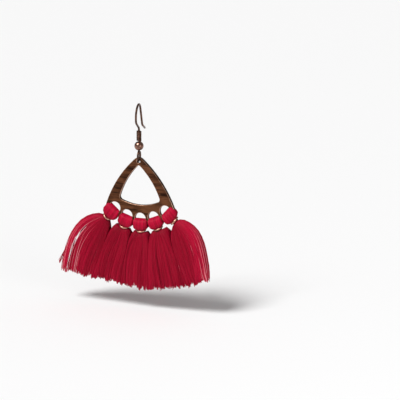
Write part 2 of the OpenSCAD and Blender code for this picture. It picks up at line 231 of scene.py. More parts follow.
# Threads of a head: their points from the neck up to the fold, their sag, how square the fold is, how
# uneven they lie, and how light their strands are, with a painted light at the fold and painted shade
# towards the neck
HEAD_SEED = 57
HEAD_STATIONS = (1.08, 0.90, 0.84, 0.78, 0.70, 0.58, 0.42, 0.28, 0.14, 0.04)
HEAD_THREAD_R = 0.62
HEAD_SPREAD = 88
SAG_FROM = 0.34
SAG_MIDDLE = 1.28
SAG_FRONT = 0.22
FOLD_SQUARE = 3.2
FOLD_RISE = 0.25 * MM
HEAD_INSET = 0.12
HEAD_UNEVEN = 0.03
HEAD_WAVE = 0.03 * MM
STRAND_THREADS = 5
STRAND_TINT = (0.54, 0.10)
HEAD_TINT_SPREAD = 0.07
HEAD_TINT_TOP = 0.68
HEAD_PAINTED_LIGHT_TOP = 0.10
HEAD_PAINTED_SHADE_DROP = 0.34
# Skirt: place along a thread, how far the side locks reach out, and half the depth as a share
SKIRT_ROWS = [
    (0, 0.46, 0.228),
    (0.07, 0.62, 0.305),
    (0.17, 0.82, 0.383),
    (0.32, 0.96, 0.451),
    (0.50, 1, 0.481),
    (0.70, 1, 0.462),
    (0.88, 0.96, 0.394),
    (1, 0.74, 0.309),
]
SKIRT_DEPTH = 5.6 * MM
THREAD_SIDES = 4
EDGE_W = 1.36 * MM
FIRST_LOCK = 0.04
LAST_LOCK = 0.96
# Along a skirt's threads: their points, where they have turned from the neck's way to their own, where
# the side threads rise round the ring, and how the tufts gather at the hem
SKIRT_SEED = 31
SKIRT_STEPS = 11
SKIRT_STATIONS = [(m / SKIRT_STEPS) ** 1.15 for m in range(SKIRT_STEPS + 1)]
TURNED_AT = 0.3
SHOULDER_AT = 0.07
SHOULDER_W = 0.06
SMALL_SHOULDER = 0.25
GATHERED_FROM = 0.86
GATHER = 0.55
LEFT_GATHER = 0.2
LEFT_GATHER_W = 0.3
# Across a skirt: crowding to the leftmost one's outer edge, the share of threads in the outer shell, thin
# ends, the loss beside a neighbour, and the grooves between locks
LEFT_CROWDING = 1.35
SHELL_SHARE = 0.6
SHELL_FROM = 0.93
THIN_END = 0.02
SEAM_LOSS = 0.16
SEAM_POWER = 6
GROOVES = 30
GROOVE_W = 0.8 * MM
GROOVE_FROM = 0.955
# Tufts of the hem: width in millimetres, start and reach, cut and lightness, and how their threads end
TUFT_W = (0.3, 1.2)
TUFT_SPAN = 24 * MM
TUFT_START = 2.5 * MM
TUFT_CUT = (-1.0, 0.5)
TUFT_SHADE = 0.05
THREAD_CUT = (-0.1, 0.30)
# Threads that stray from the smooth flow
SWAY = 0.09 * MM
STRAYS = 0.025
STRAY_SWAY = 4
STRAY_CUT = 0.5
# Lightness of a skirt's threads: the outer edges of the fringe, the glints and the loose threads are
# lighter, as painted highlights, and along their length they are painted darker near the neck and lighter
# towards the hem, as painted shade
SKIRT_TINT = 0.36
OUTER_HIGHLIGHT_TINT = 0.28
TINT_SPREAD = 0.09
TINT_TOP = 0.8
GLINT_TINT = 0.88
SLIT_HIGHLIGHT_TINT = 1.1
GLINTS = 0.03
LOOSE_GLINTS = 0.8
SKIRT_PAINTED_SHADE = 0.28
PAINTED_SHADE_MIDDLE = 0.42
# Inside of a tassel: points across the skirt, levels down skirt and head, and sizes as shares; its silk
# is painted darker than the outer threads, as painted shade inside the tassel
CORE_POINTS = 14
CORE_FROM = 0.05
LEFT_CORE_FROM = 0.42
CORE_TO = 0.95
CORE_LEVELS = (0, 0.07, 0.17, 0.32, 0.50, 0.70, 0.84, 0.92)
CORE_DEPTH = 0.80
CORE_END_DEPTH = 0.15
CORE_HEAD_LEVELS = (0.06, 0.14, 0.24, 0.36, 0.48, 0.60, 0.72, 1.0, 1.1)
CORE_HEAD_SIDES = 12
CORE_HEAD_SIZE = 0.41
CORE_SHADE_TINT = 0.25
# Slits in the leftmost skirt, which the floor shows through, in rows from their lower end: height, place
# across and half the width, in millimetres. They follow the sight line, which slides sideways and down by
# these shares of its depth from the frame's plane.
SIGHT_ASIDE = 0.503
SIGHT_DOWN = 0.268
LONG_SLIT_ROWS = (
    (-41.6, -28.9, 0),
    (-40.4, -28.4, 0.10),
    (-37.4, -27.4, 0.28),
    (-34.2, -26.4, 0.32),
    (-30.4, -24.8, 0.66),
    (-27.2, -22.0, 0.34),
    (-25.2, -19.5, 0),
)
SHORT_SLIT_ROWS = ((-31.4, -22.7, 0), (-30.2, -22.1, 0.2), (-29.0, -21.4, 0))
LONG_SLIT = [[value * MM for value in row] for row in LONG_SLIT_ROWS]
SHORT_SLIT = [[value * MM for value in row] for row in SHORT_SLIT_ROWS]
# How softly a slit pushes threads aside, and the threads near it, of which some are loose and cross it
SLIT_SOFT = 0.7 * MM
SLIT_SIDE_SPREAD = 0.1 * MM
SLIT_CORE_GAP = 0.4 * MM
NEAR_SLIT = 0.8 * MM
LOOSE = 0.07
LOOSE_NEAR_SLIT = 0.045

# Stage, from the middle of the picture: each light's name, kind, place, angle or width, and power
PICTURE_MIDDLE = Vector((0.02146, -0.00261, -0.03026))
VIEW_TURN = 13.5
VIEW_RISE = 14
NEAR_CLIP = 0.05
FLOOR_HALF = 3
FLOOR_DROP = 6 * MM
ROOM_LIGHT = 0.30
LIGHTS = (
    ("window light", "SUN", (-0.42, -0.50, 0.78), math.radians(26), 3.0),
    ("fill light", "AREA", (0.50, -0.50, 0.10), 0.35, 1.2),
)


def length_setting(name, description, default):
    return FloatProperty(name=name, description=description, default=default, unit="LENGTH", precision=5)


def colour_setting(name, description, default):
    return FloatVectorProperty(name=name, description=description, default=default, subtype="COLOR")


class HookSettings(bpy.types.PropertyGroup):
    wire_sides: IntProperty(
        name="Wire sides", description="Sides of the round ear wire", default=20, min=8, max=48
    )
    coil_wire: length_setting("Coil wire", "Thickness of the wire of the coil", 0.43 * MM)
    copper: colour_setting("Copper", "Colour of the darkened wire", (0.150, 0.075, 0.050))
    shine: colour_setting("Bright copper", "Colour of the bead and the rings", (0.30, 0.155, 0.115))


class PlateSettings(bpy.types.PropertyGroup):
    edge: length_setting("Worn edge", "Width of the rounded edge of the plate", 0.14 * MM)
    dark: colour_setting("Patina", "Darkest copper of the plate", (0.030, 0.012, 0.007))
    warm: colour_setting("Rubbed copper", "Lightest copper of the plate", (0.200, 0.078, 0.036))


class SilkSettings(bpy.types.PropertyGroup):
    thread: length_setting("Thread", "Thickness of one silk thread", 0.16 * MM)
    threads: IntProperty(
        name="Threads in a skirt", description="Silk threads in each skirt", default=1600, min=200,
        max=2000,
    )
    head_threads: IntProperty(
        name="Threads in a head", description="Threads that fold over the rim of a hole", default=150,
        min=20, max=300,
    )
    ragged: length_setting("Ragged hem", "How much the tufts differ in length", 0.78 * MM)
    shoulder: length_setting("Shoulder", "How far the side threads rise round the neck ring", 1.0 * MM)
    crimson: colour_setting("Crimson", "Middle colour of the silk", (0.305, 0.0014, 0.0185))
    seed: IntProperty(name="Seed", description="Start of the random spread of the threads", default=7)


class StageSettings(bpy.types.PropertyGroup):
    lens: FloatProperty(name="Lens", description="Focal length in millimetres", default=818.3)
    distance: FloatProperty(
        name="Distance", description="From the camera to the picture's middle", default=3.0, unit="LENGTH"
    )
    floor: colour_setting("Floor", "Colour of the pale floor", (0.92, 0.92, 0.92))


# Drawing in the plane of the frame


def mix(a, b, t):
    return a + (b - a) * t


def down(angle):
    return Vector((sin(angle), -cos(angle)))


def bearing(start, end):
    return math.degrees(math.atan2(end[1] - start[1], end[0] - start[0]))


def arc(centre, radius, start, end, steps):
    """Points on a round stretch, both ends included."""
    angles = [mix(start, end, k / steps) for k in range(steps + 1)]
    return [centre + radius * Vector((cos(a), sin(a))) for a in angles]


def crossing(c1, r1, c2, r2):
    """Where two circles cross, on the left of the way from the first centre to the second."""
    way = c2 - c1
    along = (way.length_squared + r1 * r1 - r2 * r2) / (2 * way.length)
    aside = math.sqrt(r1 * r1 - along * along)
    way.normalize()
    return c1 + along * way + aside * Vector((-way[1], way[0]))


def both_sides(arcs):
    """A closed outline from the arcs of its right half, from the top to the lowest point."""
    half = arc(*arcs[0])
    for stretch in arcs[1:]:
        half += arc(*stretch)[1:]
    return half + [Vector((-p[0], p[1])) for p in reversed(half[1:-1])]


def frame_outline():
    side = crossing(HOLES[4], SIDE_R - CORNER_R, APEX_CENTRE, SIDE_R - APEX_R)
    inner = crossing(HOLES[3], SCALLOP_R, HOLES[2], SCALLOP_R)
    outer = crossing(HOLES[4], CORNER_R, HOLES[3], SCALLOP_R)
    return both_sides([
        (APEX_CENTRE, APEX_R, 90, bearing(side, APEX_CENTRE), 12),
        (side, SIDE_R, bearing(side, APEX_CENTRE), bearing(side, HOLES[4]), 44),
        (HOLES[4], CORNER_R, bearing(side, HOLES[4]), bearing(HOLES[4], outer), 24),
        (HOLES[3], SCALLOP_R, bearing(HOLES[3], outer), bearing(HOLES[3], inner), 16),
        (HOLES[2], SCALLOP_R, bearing(HOLES[2], inner), -90, 8),
    ])


def opening_outline():
    apex = Vector((0, OPENING_TOP - OPENING_TOP_R))
    base = Vector((0, OPENING_BOTTOM + OPENING_BASE_R))
    corner_u = OPENING_W / 2 - OPENING_CORNER_R
    corner_drop = math.sqrt((OPENING_BASE_R - OPENING_CORNER_R) ** 2 - corner_u**2)
    corner = Vector((corner_u, base[1] - corner_drop))
    side = crossing(corner, OPENING_SIDE_R - OPENING_CORNER_R, apex, OPENING_SIDE_R - OPENING_TOP_R)
    return both_sides([
        (apex, OPENING_TOP_R, 90, bearing(side, apex), 10),
        (side, OPENING_SIDE_R, bearing(side, apex), bearing(side, corner), 32),
        (corner, OPENING_CORNER_R, bearing(side, corner), bearing(base, corner), 16),
        (base, OPENING_BASE_R, bearing(base, corner), -90, 20),
    ])


# Materials


def shade(colour, times):
    return tuple(c * times for c in colour)


def new_material(name):
    material = bpy.data.materials.new(name)
    material.use_nodes = True
    return material, material.node_tree.nodes, material.node_tree.links


def set_inputs(node, values):
    for name, value in values.items():
        node.inputs[name].default_value = value


def add_noise(nodes, links, vector, scale, detail, stretch=(1, 1, 1)):
    mapping = nodes.new("ShaderNodeMapping")
    set_inputs(mapping, {"Scale": stretch})
    noise = nodes.new("ShaderNodeTexNoise")
    set_inputs(noise, {"Scale": scale, "Detail": detail})
    links.new(vector, mapping.inputs["Vector"])
    links.new(mapping.outputs["Vector"], noise.inputs["Vector"])
    return noise.outputs["Fac"]


def add_ramp(nodes, links, value, stops):
    ramp = nodes.new("ShaderNodeValToRGB")
    elements = ramp.color_ramp.elements
    for k, (place, colour) in enumerate(stops):
        element = elements[k] if k < 2 else elements.new(place)
        element.position = place
        element.color = (*colour, 1)
    links.new(value, ramp.inputs["Fac"])
    return ramp.outputs["Color"]


def add_range(nodes, links, value, low, high):
    span = nodes.new("ShaderNodeMapRange")
    set_inputs(span, {"To Min": low, "To Max": high})
    links.new(value, span.inputs["Value"])
    return span.outputs["Result"]


def add_bump(nodes, links, value, shader, strength, distance):
    bump = nodes.new("ShaderNodeBump")
    set_inputs(bump, {"Strength": strength, "Distance": distance})
    links.new(value, bump.inputs["Height"])
    links.new(bump.outputs["Normal"], shader.inputs["Normal"])


def aged_metal(name, dark, light, rough, speckle=2200):
    """Copper with a patina that clouds it and fine scratches in it."""
    material, nodes, links = new_material(name)
    shader = nodes["Principled BSDF"]
    set_inputs(shader, {"Metallic": 1.0})
    place = nodes.new("ShaderNodeTexCoord").outputs["Object"]
    cloud = add_noise(nodes, links, place, scale=speckle / 4, detail=5)
    links.new(add_ramp(nodes, links, cloud, [(0.36, dark), (0.64, light)]), shader.inputs["Base Color"])
    grain = add_noise(nodes, links, place, scale=speckle, detail=3)
    roughness = add_range(nodes, links, grain, low=rough - 0.1, high=rough + 0.12)
    links.new(roughness, shader.inputs["Roughness"])
    add_bump(nodes, links, grain, shader, strength=0.25, distance=0.02 * MM)
    return material


def brushed_plate(name, dark, warm):
    """Antique copper, brushed sideways, with brown and rust bands across it."""
    material, nodes, links = new_material(name)
    shader = nodes["Principled BSDF"]
    set_inputs(shader, {"Metallic": 1.0})
    place = nodes.new("ShaderNodeTexCoord").outputs["Object"]
    bands = add_noise(nodes, links, place, scale=620, detail=4, stretch=(0.25, 0.25, 1.0))
    lines = add_noise(nodes, links, place, scale=2600, detail=3, stretch=(0.06, 0.06, 1.0))
    blend = nodes.new("ShaderNodeMix")
    set_inputs(blend, {"Factor": 0.38})
    links.new(bands, blend.inputs["A"])
    links.new(lines, blend.inputs["B"])
    tone = blend.outputs["Result"]
    middle = tuple(mix(a, b, 0.45) for a, b in zip(dark, warm))
    colour = add_ramp(nodes, links, tone, [(0.39, dark), (0.62, warm), (0.50, middle)])
    links.new(colour, shader.inputs["Base Color"])
    links.new(add_range(nodes, links, lines, low=0.34, high=0.58), shader.inputs["Roughness"])
    add_bump(nodes, links, lines, shader, strength=0.35, distance=0.03 * MM)
    return material


def silk(name, crimson):
    """Silk floss: each thread has its own depth of crimson, which also carries painted highlights and
    painted shade, and a soft pink sheen.
    """
    material, nodes, links = new_material(name)
    shader = nodes["Principled BSDF"]
    tint = nodes.new("ShaderNodeAttribute")
    tint.attribute_name = "tint"
    dark = shade(crimson, 0.45)
    light = (min(1, crimson[0] * 1.7), crimson[1] * 3, crimson[2] * 2.2)
    # The pink end of the range is a painted highlight for glints and loose threads by the slit; the
    # lighter stops serve both lighter silk and painted highlights.
    pink = (0.80, 0.30, 0.34)
    stops = [(0, dark), (1, pink), (0.4, crimson), (0.8, light)]
    colour = add_ramp(nodes, links, tint.outputs["Fac"], stops)
    links.new(colour, shader.inputs["Base Color"])
    set_inputs(shader, {
        "Roughness": 0.40,
        "Specular IOR Level": 0.10,
        "Sheen Weight": 0.03,
        "Sheen Roughness": 0.35,
        "Sheen Tint": (1.0, 0.42, 0.52, 1),
    })
    place = nodes.new("ShaderNodeTexCoord").outputs["Object"]
    fibre = add_noise(nodes, links, place, scale=9000, detail=2)
    add_bump(nodes, links, fibre, shader, strength=0.15, distance=0.01 * MM)
    return material


# Pieces


def new_object(name, data):
    thing = bpy.data.objects.new(name, data)
    bpy.context.scene.collection.objects.link(thing)
    return thing


def add_piece(name, mesh, body, nodes, materials):
    for material in materials:
        mesh.materials.append(material)
    piece = new_object(name, mesh)
    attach(piece, body)
    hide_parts(*nodes)
    return piece


def to_mesh(name, bm):
    mesh = bpy.data.meshes.new(name)
    bm.to_mesh(mesh)
    bm.free()
    return mesh


def solid_mesh(name, bm):
    bmesh.ops.remove_doubles(bm, verts=bm.verts, dist=SAME_PLACE)
    bmesh.ops.recalc_face_normals(bm, faces=bm.faces)
    mesh = to_mesh(name, bm)
    mesh.shade_smooth()
    return mesh


def each_once(parts):
    return list(dict.fromkeys(parts))


def wire_ring(bm, place, diameter, sides):
    ring = bmesh.ops.create_circle(bm, segments=sides, radius=diameter / 2, matrix=place)["verts"]
    return each_once(edge for vert in ring for edge in vert.link_edges)


def ring_parts(edges):
    return edges + each_once(vert for edge in edges for vert in edge.verts)


def edges_in(parts):
    return [part for part in parts if isinstance(part, bmesh.types.BMEdge)]


def extruded(bm, edges):
    """The points and edges of a new ring, extruded from a ring of edges."""
    parts = bmesh.ops.extrude_edge_only(bm, edges=edges)["geom"]
    verts = [part for part in parts if isinstance(part, bmesh.types.BMVert)]
    kept = set(verts)
    return verts, [edge for edge in edges_in(parts) if set(edge.verts) <= kept]


def cap(bm, edges):
    """Closes a ring with a fan of faces."""
    faces = bmesh.ops.contextual_create(bm, geom=edges)["faces"]
    bmesh.ops.poke(bm, faces=faces)


def push_ring(bm, edges, shift, scale=1.0):
    """The next ring of a wire: extruded, moved and scaled about its middle."""
    verts, edges = extruded(bm, edges)
    middle = sum((vert.co for vert in verts), Vector()) / len(verts)
    bmesh.ops.translate(bm, verts=verts, vec=shift)
    bmesh.ops.scale(bm, verts=verts, vec=(scale,) * 3, space=Matrix.Translation(-(middle + shift)))
    return edges


def close_wire(bm, edges, heading, diameter):
    """A rounded end."""
    for advance, scale in WIRE_END:
        edges = push_ring(bm, edges, heading * advance * diameter, scale)
    cap(bm, edges)


def draw_wire(bm, edges, point, heading, path):
    """Runs a ring of wire along straights and bends in the YZ plane, to a rounded end."""
    for straight, radius, angle in path:
        if straight > 0:
            edges = push_ring(bm, edges, heading * straight)
            point = point + heading * straight
        if angle:
            side = 1 if angle < 0 else -1
            centre = point + side * radius * Vector((0, -heading.z, heading.y))
            turned = bmesh.ops.spin(
                bm,
                geom=ring_parts(edges),
                cent=centre,
                axis=(side, 0, 0),
                angle=math.radians(abs(angle)),
                steps=max(LEAST_BEND_STEPS, round(abs(angle) / BEND_STEP)),
            )["geom_last"]
            edges = edges_in(turned)
            turn = Matrix.Rotation(math.radians(-angle), 3, "X")
            point = centre + turn @ (point - centre)
            heading = turn @ heading
    close_wire(bm, edges, heading, WIRE_D)


def build_ear_wire(settings):
    bm = bmesh.new()
    top = Vector((0, 0, WIRE_D / 2))
    place = Matrix.Translation(top) @ Matrix.Rotation(math.pi / 2, 4, "X")
    start = wire_ring(bm, place, WIRE_D, settings.wire_sides)
    draw_wire(bm, start, top, Vector((0, -1, 0)), FRONT_PATH)
    draw_wire(bm, start, top, Vector((0, 1, 0)), BACK_PATH)
    return solid_mesh("ear_wire", bm)


def build_coil(settings):
    bm = bmesh.new()
    wire = settings.coil_wire
    start = Vector((0, STEM_Y - COIL_R, COIL_BOTTOM + wire / 2))
    place = Matrix.Translation(start) @ Matrix.Rotation(math.pi / 2, 4, "Y")
    ring = wire_ring(bm, place, wire, COIL_SIDES)
    steps = COIL_STEPS * (COIL_TURNS - 1)
    turned = bmesh.ops.spin(
        bm,
        geom=ring_parts(ring),
        cent=(0, STEM_Y, 0),
        axis=(0, 0, 1),
        dvec=(0, 0, (COIL_H - wire) / steps),
        angle=2 * math.pi * (COIL_TURNS - 1),
        steps=steps,
    )["geom_last"]
    last = edges_in(turned)
    close_wire(bm, ring, Vector((-1, 0, 0)), wire)
    close_wire(bm, last, Vector((1, 0, 0)), wire)
    return solid_mesh("coil", bm)


def closed_loop(bm, verts):
    return [bm.edges.new((a, b)) for a, b in zip(verts, verts[1:] + verts[:1])]


def spin_round(bm, geom, centre, steps):
    """A whole turn about an upright axis, closed without a seam."""
    bmesh.ops.spin(
        bm, geom=geom, cent=centre, axis=(0, 0, 1), angle=2 * math.pi, steps=steps, use_merge=True
    )


def build_bead():
    bm = bmesh.new()
    flat_r = math.sqrt((BEAD_D / 2) ** 2 - (BEAD_H / 2) ** 2)
    flat_angle = math.degrees(math.atan2(BEAD_H / 2, flat_r))
    outside = arc(Vector((0, 0)), BEAD_D / 2, -flat_angle, flat_angle, BEAD_ARC_STEPS)
    profile = [Vector((BEAD_BORE_R, -BEAD_H / 2))] + outside + [Vector((BEAD_BORE_R, BEAD_H / 2))]
    verts = [bm.verts.new((p[0], STEM_Y, BEAD_Z + p[1])) for p in profile]
    spin_round(bm, verts + closed_loop(bm, verts), (0, STEM_Y, 0), BEAD_STEPS)
    return solid_mesh("bead", bm)


def rim_offsets(points, outward):
    """At each point of a closed outline, the way out of the metal, lengthened at corners."""
    ways = []
    for k, point in enumerate(points):
        before = (point - points[k - 1]).normalized()
        after = (points[(k + 1) % len(points)] - point).normalized()
        normal = Vector((before[1] + after[1], -before[0] - after[0])).normalized()
        stretch = max(SHARPEST_CORNER, normal.dot(Vector((after[1], -after[0]))))
        ways.append(normal * (outward / stretch))
    return ways


def outline_loop(bm, points, ways, inset, depth):
    verts = [
        bm.verts.new((point[0] - way[0] * inset, depth, point[1] - way[1] * inset))
        for point, way in zip(points, ways)
    ]
    return closed_loop(bm, verts)


def build_plate(settings):
    """The flat copper frame, with its edges rounded over."""
    bm = bmesh.new()
    half = PLATE_T / 2
    edge = settings.edge
    wall = len(EDGE_ANGLES) - 1
    eye = arc(Vector((0, EYE_W)), EYE_D / 2, 0, 360, EYE_STEPS)[:-1]
    holes = [arc(hole, HOLE_R, 0, 360, HOLE_STEPS)[:-1] for hole in HOLES]
    outlines = [(frame_outline(), -1), (opening_outline(), 1), (eye, -1)] + [(hole, -1) for hole in holes]
    caps = {-1: [], 1: []}
    for points, outward in outlines:
        ways = rim_offsets(points, outward)
        rows = []
        for side in (-1, 1):
            turn = [(edge * (1 - sin(a)), half - edge * (1 - cos(a))) for a in EDGE_ANGLES]
            turn = turn if side < 0 else turn[::-1]
            rows += [(inset, side * depth) for inset, depth in turn]
        loops = [outline_loop(bm, points, ways, inset, depth) for inset, depth in rows]
        for k, (lower, upper) in enumerate(zip(loops, loops[1:])):
            # The rounded edges (material 1) take a lighter copper: partly real wear, partly a painted
            # highlight.
            for face in bmesh.ops.bridge_loops(bm, edges=lower + upper)["faces"]:
                # The straight wall (material 2) takes a darker copper: a painted shade.
                face.material_index = 2 if k == wall else 1
        caps[-1] += loops[0]
        caps[1] += loops[-1]
    for side, edges in caps.items():
        made = bmesh.ops.triangle_fill(bm, edges=edges, use_beauty=True, normal=(0, side, 0))["geom"]
        for face in made:
            if isinstance(face, bmesh.types.BMFace):
                face.material_index = 0
    bm.transform(HUNG)
    bmesh.ops.recalc_face_normals(bm, faces=bm.faces)
    for face in bm.faces:
        face.smooth = face.material_index > 0
    return to_mesh("frame_plate", bm)


def rim_r(i):
    return CORNER_R if i in (0, 4) else SCALLOP_R


def ring_drop(i):
    return rim_r(i) + RING_GAP + RING_ROOM


def ring_centre(i):
    return HOLES[i] + ring_drop(i) * down(TASSELS[i][1])


def hung_at(i, centre):
    """The place of a tassel's part on the frame, turned with the tassel's neck."""
    return (
        HUNG
        @ Matrix.Translation((centre[0], 0, centre[1]))
        @ Matrix.Rotation(math.radians(-TASSELS[i][1]), 4, "Y")
    )


def build_ring(i):
    """One copper ring round a tassel's neck."""
    bm = bmesh.new()
    start = Matrix.Translation((RING_R, 0, 0)) @ Matrix.Rotation(math.pi / 2, 4, "X")
    ring = wire_ring(bm, start, RING_WIRE_D, RING_SIDES)
    spin_round(bm, ring_parts(ring), (0, 0, 0), RING_STEPS)
    bm.transform(hung_at(i, ring_centre(i)) @ Matrix.Rotation(math.radians(RING_TILT), 4, "X"))
    return solid_mesh("neck_ring_%d" % (i + 1), bm)


# Tassels


def row_at(rows, along):
    """The values of a table between its rows, by its first column."""
    columns = list(zip(*rows))
    return [float(np.interp(along, columns[0], column)) for column in columns[1:]]


def hem_row(edge):
    """The hem's row at a place counted in skirts from the left."""
    k = min(int(edge), 4)
    return [mix(a, b, edge - k) for a, b in zip(HEM[k], HEM[k + 1])]


def hem_point(edge):
    across, drop = hem_row(edge)[:2]
    return Vector((mix(-FRINGE_LEFT, FRINGE_RIGHT, across), ring_centre(2)[1] - FRINGE_L * drop))


def neck_bottom(i):
    return ring_drop(i) + RING_ROOM


def thread_line(i, across):
    """The four points of the curve that a thread follows from the neck to the hem."""
    tilt, spread_left, spread_right, launch_left, launch_right = TASSELS[i][1:]
    side = Vector((cos(tilt), sin(tilt)))
    start = HOLES[i] + (neck_bottom(i) + SKIRT_START) * down(tilt) + (across - 0.5) * 2 * NECK_R * side
    hem = hem_point(i + across)
    reach = (hem - start).length
    launch = mix(launch_left, launch_right, across) * reach
    return [
        start,
        start + launch * down(mix(spread_left, spread_right, across)),
        hem - LANDING_SHARE * reach * down(hem_row(i + across)[2]),
        hem,
    ]


def curve_point(line, t):
    a, b, c, d = line
    return (1 - t) ** 3 * a + 3 * t * (1 - t) ** 2 * b + 3 * t * t * (1 - t) * c + t**3 * d


def curve_way(line, t):
    a, b, c, d = line
    return (1 - t) ** 2 * (b - a) + 2 * t * (1 - t) * (c - b) + t * t * (d - c)


def partings():
    """The lines between neighbouring tassels, from the metal between their holes down past the hem."""
    lines = {}
    for edge in range(1, 5):
        rings = (ring_centre(edge - 1) + ring_centre(edge)) / 2
        kite = rings + KITE_DROP * down((TASSELS[edge - 1][1] + TASSELS[edge][1]) / 2)
        metal = (HOLES[edge - 1] + HOLES[edge]) / 2
        points = [kite.lerp(hem_point(edge), PAST_HEM), kite, rings, metal]
        lines[edge] = ([p[1] for p in points], [p[0] for p in points])
    return lines


def held_in(i, u, w, lines):
    """A thread is pressed back where it would cross into the neighbouring tassel."""
    if i > 0:
        room = u - float(np.interp(w, *lines[i]))
        if room < SOFT_PRESS:
            u = u - room + SOFT_PRESS * math.exp(room / SOFT_PRESS - 1)
    if i < 4:
        room = float(np.interp(w, *lines[i + 1])) - u
        if room < SOFT_PRESS:
            u = u + room - SOFT_PRESS * math.exp(room / SOFT_PRESS - 1)
    return u


def slit_offset(slit, spot):
    """How far a place is from a slit, sideways, and half the slit's width at that height."""
    u, n, w = spot
    middle, half = row_at(slit, w + SIGHT_DOWN * n)
    return u + SIGHT_ASIDE * n - middle, half


def beside(slit, points):
    """How far a thread passes the widest place of a slit, sideways."""
    height = max(slit, key=lambda row: row[2])[0]
    nearest = min(points, key=lambda p: abs(p[2] + SIGHT_DOWN * p[1] - height))
    return slit_offset(slit, nearest)[0]


def parted(points, side_of):
    """A thread beside the slits stays on its own side of each and is pushed away from it."""
    for slit in (LONG_SLIT, SHORT_SLIT):
        side = 1 if beside(slit, points) + side_of > 0 else -1
        for point in points:
            offset, half = slit_offset(slit, point)
            if half > 0:
                away = max(0, side * offset)
                point[0] += side * (away + half * math.exp(-away / SLIT_SOFT)) - offset


def spread_out(i, share):
    """Where a share of a skirt's whole width lies: its place between the outer locks, how far it is past
    them, and how far it is from the first of them."""
    width = (hem_point(i + LAST_LOCK) - hem_point(i + FIRST_LOCK)).length
    aside = share * (width + 2 * EDGE_W) - EDGE_W
    inner = min(max(aside, 0), width)
    return mix(FIRST_LOCK, LAST_LOCK, inner / width), aside - inner, aside


def skirt_point(i, line, past, t, row, depth):
    """A point of a skirt: along a thread, past the outer locks, and before or behind the middle plane."""
    middle = curve_point(line, t)
    way = curve_way(line, t)
    turn = math.degrees(math.atan2(way[1], way[0])) + 90
    aside = down(mix(TASSELS[i][1], turn, min(t / TURNED_AT, 1)) + 90)
    point = middle + aside * (past * row[0])
    return Vector((point[0], depth * row[1] * SKIRT_DEPTH, point[1]))


def roundness(across, past):
    """How full a skirt is across its width: rounded at its ends, and less beside its neighbours."""
    outer = math.sqrt(max(THIN_END, 1 - (past / EDGE_W) ** 2))
    return outer * (1 - SEAM_LOSS * abs(2 * across - 1) ** SEAM_POWER)


def add_tint(mesh, values):
    """How light the silk is at each point, which its material reads."""
    tint = mesh.attributes.new("tint", "FLOAT", "POINT")
    tint.data.foreach_set("value", values)


def thread_mesh(name, lines, tints, painted_shade, radius, thin_start):
    """Threads along lines of points, made by a bevelled curve. They thicken over the first quarter of
    their points, and a painted light and shade lightens or darkens them along their length."""
    curve = bpy.data.curves.new(name, "CURVE")
    curve.dimensions = "3D"
    curve.bevel_depth = radius
    curve.bevel_resolution = 0
    curve.use_fill_caps = True
    last = len(lines[0]) - 1
    widths = [min(1, thin_start + (1 - thin_start) * 4 * k / last) for k in range(last + 1)]
    for line in lines:
        spline = curve.splines.new("POLY")
        spline.points.add(last)
        spline.points.foreach_set("co", [value for point in line for value in (*point, 1)])
        spline.points.foreach_set("radius", widths)
    holder = new_object(name, curve)
    graph = bpy.context.evaluated_depsgraph_get()
    mesh = bpy.data.meshes.new_from_object(holder.evaluated_get(graph))
    mesh.name = name
    bpy.data.objects.remove(holder)
    bpy.data.curves.remove(curve)
    along = np.clip(np.add.outer(np.array(tints), np.array(painted_shade)), 0, 1)
    # The closed ends come first in the curve's mesh, from the last thread to the first
    ends = along[::-1, [-1, 0]]
    values = np.repeat(np.concatenate((ends.ravel(), along.ravel())), THREAD_SIDES).astype(np.float32)
    if len(values) != len(mesh.vertices):
        raise RuntimeError("%s: the threads don't all have the same number of points" % name)
    add_tint(mesh, values)
    mesh.shade_smooth()
    return mesh


def tuft_edges(chance, length):
    """Where one tuft of the hem ends and the next begins."""
    edges = [0]
    while edges[-1] < length:
        edges.append(edges[-1] + chance.uniform(*TUFT_W) * MM)
    return edges


def shape_thread(points, sway, pull, rise):
    """A skirt's thread sways, is pulled to its tuft at the hem, and rises round the neck ring."""
    for spot, station in zip(points, SKIRT_STATIONS):
        drift = station * station * (3 - 2 * station)
        spot[0] += pull * max(0, (station - GATHERED_FROM) / (1 - GATHERED_FROM)) ** 2
        spot[0] += drift * (sway[0] + sway[1] * sin(360 * station))
        spot[1] += drift * sway[2]
        spot[2] += rise * math.exp(-(((station - SHOULDER_AT) / SHOULDER_W) ** 2))


def curl_wisp(points, chance):
    for spot, station in zip(points, SKIRT_STATIONS):
        curl = max(0, station - WISP_FROM) ** 2
        spot[0] -= WISP_FLARE * curl * chance.uniform(*WISP_SPREAD)
        spot[2] += WISP_RISE * curl


